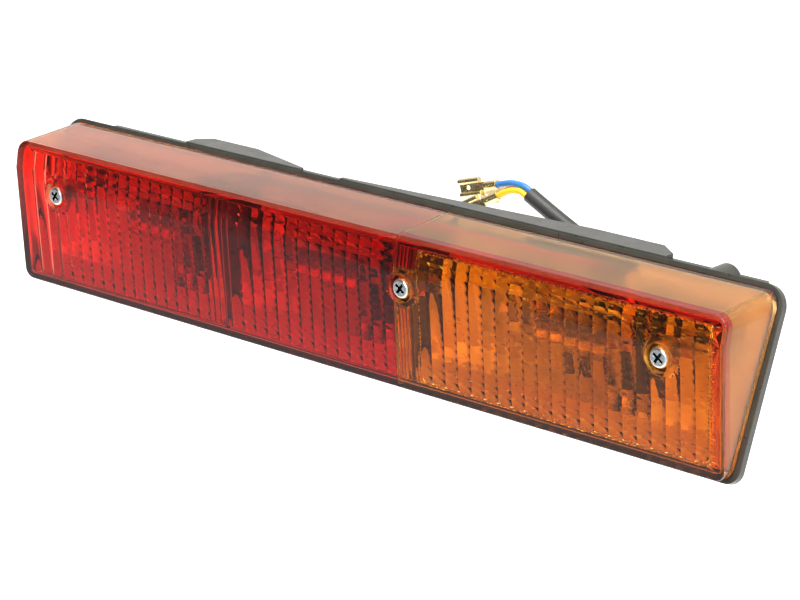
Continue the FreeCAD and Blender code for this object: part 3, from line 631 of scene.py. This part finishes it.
def outer_share(look):
    """1 on the lens's polished outside, 0 on its inside, at the roof, the floor and the ends."""
    depth = look.math("ADD", look.axis("Y"), -FRONT_Y * MM)
    spread = look.math("MULTIPLY", depth, LENS_DRAFT)
    half_wall = LENS_WALL / 2
    above = look.math("SUBTRACT", look.axis("Z"), spread)
    below = look.math("ADD", look.axis("Z"), spread)
    end_spread = look.math("MULTIPLY", depth, END_DRAFT)
    along = look.math("SUBTRACT", look.math("ABSOLUTE", look.axis("X")), end_spread)
    top = look.math("GREATER_THAN", above, (LENS_TOP - half_wall) * MM)
    bottom = look.math("LESS_THAN", below, (LENS_BOTTOM + half_wall) * MM)
    end = look.math("GREATER_THAN", along, (LENS_HALF - half_wall) * MM)
    return look.math("MAXIMUM", look.math("MAXIMUM", top, bottom), end)


def lens_look(name, colour, deep, painted_wall_sheen, borders=False):
    """Clear coloured acrylic, polished outside and at the front, matt on the inside of its walls. Its
    walls take a paler colour, a painted sheen.
    """
    look = Look(name, Transmission_Weight=1.0, IOR=1.49)
    front = facing(look, "Y")
    tint = look.mix(look.span(look.noise(60.0, 3.0), 0.0, 1.0), colour, deep)
    # Painted sheen: faces that do not look along Y take a paler colour that stands in for the bright
    # reflections the roof, floor and ends catch.
    tint = look.mix(front, painted_wall_sheen, tint)
    if borders:
        tint = look.mix(amber_red_share(look), tint, RED_TINT)
    look.set("Base Color", tint)
    clear = look.span(look.noise(420.0), 0.015, 0.06)
    matt = look.span(look.noise(300.0, 3.0), 0.4, 0.55)
    polished = look.math("MAXIMUM", front, outer_share(look))
    look.set("Roughness", look.mix_numbers(polished, matt, clear))
    look.set("Normal", look.bump(look.noise(35.0, 2.0), 0.0002, 0.12))
    return look.material


def plastic_look(name, colour, light, roughness, grain=1500.0, edge=0.0004):
    """Moulded plastic or rubber with a fine grain, a little lighter in places."""
    look = Look(name)
    look.set("Base Color", look.mix(look.span(look.noise(90.0), 0.0, 1.0), colour, light))
    look.set("Roughness", look.span(look.noise(260.0), *roughness))
    rounded = look.worn_edges(edge)
    look.set("Normal", look.bump(look.noise(grain, 2.0), 0.00006, 0.35, rounded))
    return look.material


def metal_look(name, colour, dull, roughness, metallic, grain=700.0, edge=0.0003):
    """Metal that is duller in places."""
    look = Look(name, Metallic=metallic)
    look.set("Base Color", look.mix(look.span(look.noise(160.0), 0.0, 1.0), colour, dull))
    look.set("Roughness", look.span(look.noise(grain, 4.0), *roughness))
    rounded = look.worn_edges(edge)
    look.set("Normal", look.bump(look.noise(grain, 3.0), 0.00003, 0.3, rounded))
    return look.material


def screw_look(name):
    """Bright zinc, with painted shade in the cross recess."""
    look = Look(name, Metallic=1.0)
    plain = look.mix(look.span(look.noise(160.0), 0.0, 1.0), rgb(0.84, 0.86, 0.86), rgb(0.66, 0.7, 0.7))
    sunk = look.math("GREATER_THAN", look.axis("Y"), HEAD_FACE + CROSS_SHADE_START)
    up = look.math("ABSOLUTE", look.math("SUBTRACT", look.axis("Z"), SCREW_Z * MM))
    across, *others = (
        look.math("ABSOLUTE", look.math("SUBTRACT", look.axis("X"), screw * MM)) for screw in SCREW_X
    )
    for distance in others:
        across = look.math("MINIMUM", across, distance)
    squares = look.math("ADD", look.math("POWER", up, 2.0), look.math("POWER", across, 2.0))
    radius = look.math("POWER", squares, 0.5)
    # Painted shade: inside the cross recess the zinc is coloured near-black, standing in for the shade
    # that falls there.
    painted_recess_shade = look.math("MULTIPLY", sunk, look.math("LESS_THAN", radius, CROSS_R))
    look.set("Base Color", look.mix(painted_recess_shade, plain, rgb(0.03, 0.07, 0.07)))
    look.set("Roughness", look.span(look.noise(700.0), 0.14, 0.3))
    look.set("Normal", look.bump(look.noise(700.0, 3.0), 0.00003, 0.3, look.worn_edges(0.0002)))
    return look.material


def glass_look(name):
    look = Look(name, Transmission_Weight=1.0, IOR=1.45)
    share = look.span(look.noise(80.0), 0.0, 1.0)
    look.set("Base Color", look.mix(share, rgb(0.97, 0.98, 0.98), rgb(0.9, 0.92, 0.92)))
    look.set("Roughness", look.span(look.noise(300.0), 0.0, 0.03))
    return look.material


RED_TINT = rgb(0.88, 0.03, 0.02)
LOOKS = {
    # Each lens's third colour is a painted sheen for its walls, much paler than the lens itself.
    "red_lens": lens_look(
        "red_lens", rgb(0.95, 0.042, 0.03), rgb(0.88, 0.028, 0.02), rgb(0.98, 0.5, 0.28)
    ),
    "amber_lens": lens_look(
        "amber_lens", rgb(0.97, 0.42, 0.025), rgb(0.93, 0.36, 0.018), rgb(1.0, 0.62, 0.24), borders=True
    ),
    "screw_zinc": screw_look("screw_zinc"),
    "bulb_glass": glass_look("bulb_glass"),
}
# Each plastic's two colours and its range of roughness
PLASTICS = {
    "base_plastic": ((0.036, 0.035, 0.027), (0.05, 0.048, 0.038), (0.26, 0.38)),
    "seal_rubber": ((0.008, 0.008, 0.008), (0.014, 0.014, 0.014), (0.6, 0.8)),
    "disc_fibre": ((0.2, 0.09, 0.04), (0.28, 0.13, 0.06), (0.34, 0.5)),
    "insulator_fibre": ((0.22, 0.1, 0.045), (0.3, 0.14, 0.06), (0.34, 0.5)),
    "grommet_rubber": ((0.012, 0.012, 0.012), (0.022, 0.022, 0.02), (0.5, 0.7)),
    "sleeve_pvc": ((0.02, 0.019, 0.016), (0.034, 0.032, 0.027), (0.38, 0.5)),
    "wire_blue": ((0.03, 0.17, 0.5), (0.05, 0.22, 0.58), (0.3, 0.42)),
    "wire_red": ((0.5, 0.015, 0.02), (0.6, 0.03, 0.03), (0.3, 0.42)),
    "wire_yellow": ((0.75, 0.5, 0.01), (0.82, 0.58, 0.02), (0.3, 0.42)),
}
# Each metal's two colours, its range of roughness, and how metallic it is
METALS = {
    "reflector_metal": ((0.95, 0.95, 0.93), (0.88, 0.88, 0.85), (0.25, 0.4), 0.35),
    "holder_steel": ((0.66, 0.66, 0.62), (0.5, 0.5, 0.46), (0.16, 0.34), 1.0),
    "contact_brass": ((0.76, 0.58, 0.28), (0.6, 0.44, 0.2), (0.16, 0.34), 1.0),
    "cap_brass": ((0.72, 0.66, 0.5), (0.56, 0.5, 0.36), (0.16, 0.34), 1.0),
    "filament_tungsten": ((0.36, 0.35, 0.34), (0.24, 0.23, 0.22), (0.16, 0.34), 1.0),
    "stud_zinc": ((0.72, 0.71, 0.66), (0.58, 0.56, 0.48), (0.22, 0.4), 1.0),
    "earth_tin": ((0.68, 0.68, 0.66), (0.5, 0.5, 0.48), (0.16, 0.34), 1.0),
    "terminal_brass": ((0.9, 0.76, 0.42), (0.74, 0.56, 0.26), (0.16, 0.34), 1.0),
}
for slot_name, (colour_a, colour_b, rough_range) in PLASTICS.items():
    LOOKS[slot_name] = plastic_look(slot_name, rgb(*colour_a), rgb(*colour_b), rough_range)
for slot_name, (colour_a, colour_b, rough_range, metal_share) in METALS.items():
    LOOKS[slot_name] = metal_look(slot_name, rgb(*colour_a), rgb(*colour_b), rough_range, metal_share)


def dress_cad_nodes():
    """Gives every CAD node the material of its slot in the record."""
    slots = {part["node"]: part["material_slot"] for part in frame["record"]["subparts"]}
    for name, node in frame["nodes"].items():
        node.data.materials.clear()
        node.data.materials.append(LOOKS[slots[name]])


def make_lens():
    """The lens with its optics, cut into its red and its amber piece."""
    shape = lens_shape()
    for name, slot, edge, keep_left in (
        ("lens_shell_red", "red_lens", SPLIT_X - SPLIT_GAP, True),
        ("lens_shell_amber", "amber_lens", SPLIT_X + SPLIT_GAP, False),
    ):
        piece = shape.piece(name, LOOKS[slot], LENS_SMOOTH_ANGLE)
        cut_at(piece, edge, keep_left)
        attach(piece, "lens")
        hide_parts(name.replace("_shell", ""))


def rounded_path(points, rounds):
    """Cuts the corners of a path again and again, which leaves smooth bends."""
    for _ in range(rounds):
        path = [points[0]]
        for (xa, ya), (xb, yb) in zip(points, points[1:]):
            path.append((xa * 0.75 + xb * 0.25, ya * 0.75 + yb * 0.25))
            path.append((xa * 0.25 + xb * 0.75, ya * 0.25 + yb * 0.75))
        points = path + [points[-1]]
    return points


def capped_loft(shape, rings):
    """A closed bar through the rings, with both ends filled."""
    shape.loft(rings)
    whole_ring = [tuple(range(len(rings[0])))]
    shape.add(rings[0], whole_ring)
    shape.add(rings[-1], whole_ring)


def leaf_strip(start_x):
    """Rings along a leaf's strip, which runs in a Z shape from the disc to the bracket."""
    path = rounded_path(LEAF_BENDS, LEAF_ROUNDS)
    rings = []
    for index, (x, y) in enumerate(path):
        xa, ya = path[max(index - 1, 0)]
        xb, yb = path[min(index + 1, len(path) - 1)]
        length = math.hypot(xb - xa, yb - ya)
        aside_x = (yb - ya) / length * LEAF_T / 2
        aside_y = (xa - xb) / length * LEAF_T / 2
        ring = []
        for side, up in ((-1, -1), (1, -1), (1, 1), (-1, 1)):
            place_x = start_x + x + side * aside_x
            ring.append((place_x, BULB_Y + y + side * aside_y, BULB_Z + up * LEAF_HALF_WIDTH))
        rings.append(ring)
    return rings


def lug_outline(x):
    """The lug's outline at one X: square below, round at the top where the wire is soldered."""
    half = LUG_HALF_WIDTH
    outline = [(x, BULB_Y - half, BULB_Z - half), (x, BULB_Y + half, BULB_Z - half)]
    for step in range(ROUND_STEPS // 2 + 1):
        angle = 2 * math.pi * step / ROUND_STEPS
        y = BULB_Y + half * math.cos(angle)
        outline.append((x, y, BULB_Z + LUG_TOP - half + half * math.sin(angle)))
    return outline


def pin_ring(x):
    """A ring round the lug's pin at one X."""
    ring = []
    for step in range(ROUND_STEPS):
        angle = 2 * math.pi * step / ROUND_STEPS
        ring.append((x, BULB_Y + LUG_PIN_R * math.cos(angle), BULB_Z + LUG_PIN_R * math.sin(angle)))
    return ring


def make_leaves():
    """Spring leaves that are squeezed between disc and bracket as a bulb is pushed in."""
    for chamber, start_x in LEAF_START_X.items():
        shape = Shape()
        root_x = start_x + LEAF_SPAN
        lug_front, lug_back = (start_x + x for x in LUG_X)
        capped_loft(shape, leaf_strip(start_x))
        capped_loft(shape, [pin_ring(root_x + LEAF_T / 2), pin_ring(lug_back)])
        capped_loft(shape, [lug_outline(lug_front), lug_outline(lug_back)])
        piece = shape.piece(f"leaf_spring_{chamber}", LOOKS["contact_brass"])
        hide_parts(f"contact_leaf_{chamber}")
        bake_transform(piece)


def make_sleeve():
    """The cable sleeve along its route."""
    curve = bpy.data.curves.new("cable_sleeve_cord", "CURVE")
    curve.dimensions = "3D"
    spline = curve.splines.new("NURBS")
    spline.points.add(len(SLEEVE_ROUTE) - 1)
    for point, place in zip(spline.points, SLEEVE_ROUTE):
        point.co = (*place, 1.0)
    spline.order_u = 3
    spline.use_endpoint_u = True
    spline.resolution_u = SLEEVE_STEPS_ALONG
    curve.bevel_depth = SLEEVE_D / 2
    curve.bevel_resolution = SLEEVE_STEPS_ROUND
    curve.use_fill_caps = True
    piece = bpy.data.objects.new("cable_sleeve_cord", curve)
    curve.materials.append(LOOKS["sleeve_pvc"])
    bpy.context.scene.collection.objects.link(piece)
    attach(piece, "base")
    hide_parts("cable_sleeve")


# Stage

def make_floor():
    """A plain white sheet that glows a little."""
    mesh = bpy.data.meshes.new("floor")
    low_x, high_x, low_y, high_y = FLOOR_EDGES
    corners = [(low_x, low_y), (high_x, low_y), (high_x, high_y), (low_x, high_y)]
    mesh.from_pydata([(x, y, FLOOR_Z) for x, y in corners], [], [(0, 1, 2, 3)])
    floor = bpy.data.objects.new("floor", mesh)
    bpy.context.scene.collection.objects.link(floor)
    look = Look("floor_paper", Roughness=0.9, Emission_Color=rgb(1, 1, 1), Emission_Strength=FLOOR_GLOW)
    share = look.span(look.noise(4.0), 0.0, 1.0)
    look.set("Base Color", look.mix(share, rgb(0.93, 0.93, 0.93), rgb(0.96, 0.96, 0.96)))
    mesh.materials.append(look.material)


def make_world():
    """A bright studio, darker on one side."""
    world = bpy.data.worlds.new("studio")
    bpy.context.scene.world = world
    world.use_nodes = True
    tree = world.node_tree
    background = tree.nodes["Background"]
    place = tree.nodes.new("ShaderNodeTexCoord")
    towards = tree.nodes.new("ShaderNodeVectorMath")
    towards.operation = "DOT_PRODUCT"
    towards.inputs[1].default_value = Vector(DARK_SIDE).normalized()
    ramp = tree.nodes.new("ShaderNodeValToRGB")
    for element, (position, brightness) in zip(ramp.color_ramp.elements, WORLD_RAMP):
        element.position = position
        element.color = rgb(brightness, brightness, brightness)
    tree.links.new(place.outputs["Generated"], towards.inputs[0])
    tree.links.new(towards.outputs["Value"], ramp.inputs["Fac"])
    tree.links.new(ramp.outputs["Color"], background.inputs["Color"])


def add_light(name, place, size, power):
    light = bpy.data.lights.new(name, "AREA")
    light.shape = "RECTANGLE"
    light.size, light.size_y = size
    light.energy = power
    lamp = bpy.data.objects.new(name, light)
    lamp.location = place
    lamp.rotation_euler = (-Vector(place)).to_track_quat("-Z", "Y").to_euler()
    bpy.context.scene.collection.objects.link(lamp)


def make_camera():
    camera = bpy.data.cameras.new("camera")
    camera.lens = CAMERA_LENS
    camera.sensor_width = CAMERA_SENSOR
    holder = bpy.data.objects.new("camera", camera)
    holder.location = CAMERA_AT
    holder.rotation_euler = Vector(CAMERA_WAY).to_track_quat("-Z", "Y").to_euler()
    bpy.context.scene.collection.objects.link(holder)
    bpy.context.scene.camera = holder


dress_cad_nodes()
make_lens()
make_leaves()
make_sleeve()
make_floor()
make_world()
for light_name, (light_place, light_size, light_power) in LIGHTS.items():
    add_light(light_name, light_place, light_size, light_power)
make_camera()
bpy.context.scene.view_settings.view_transform = "Standard"
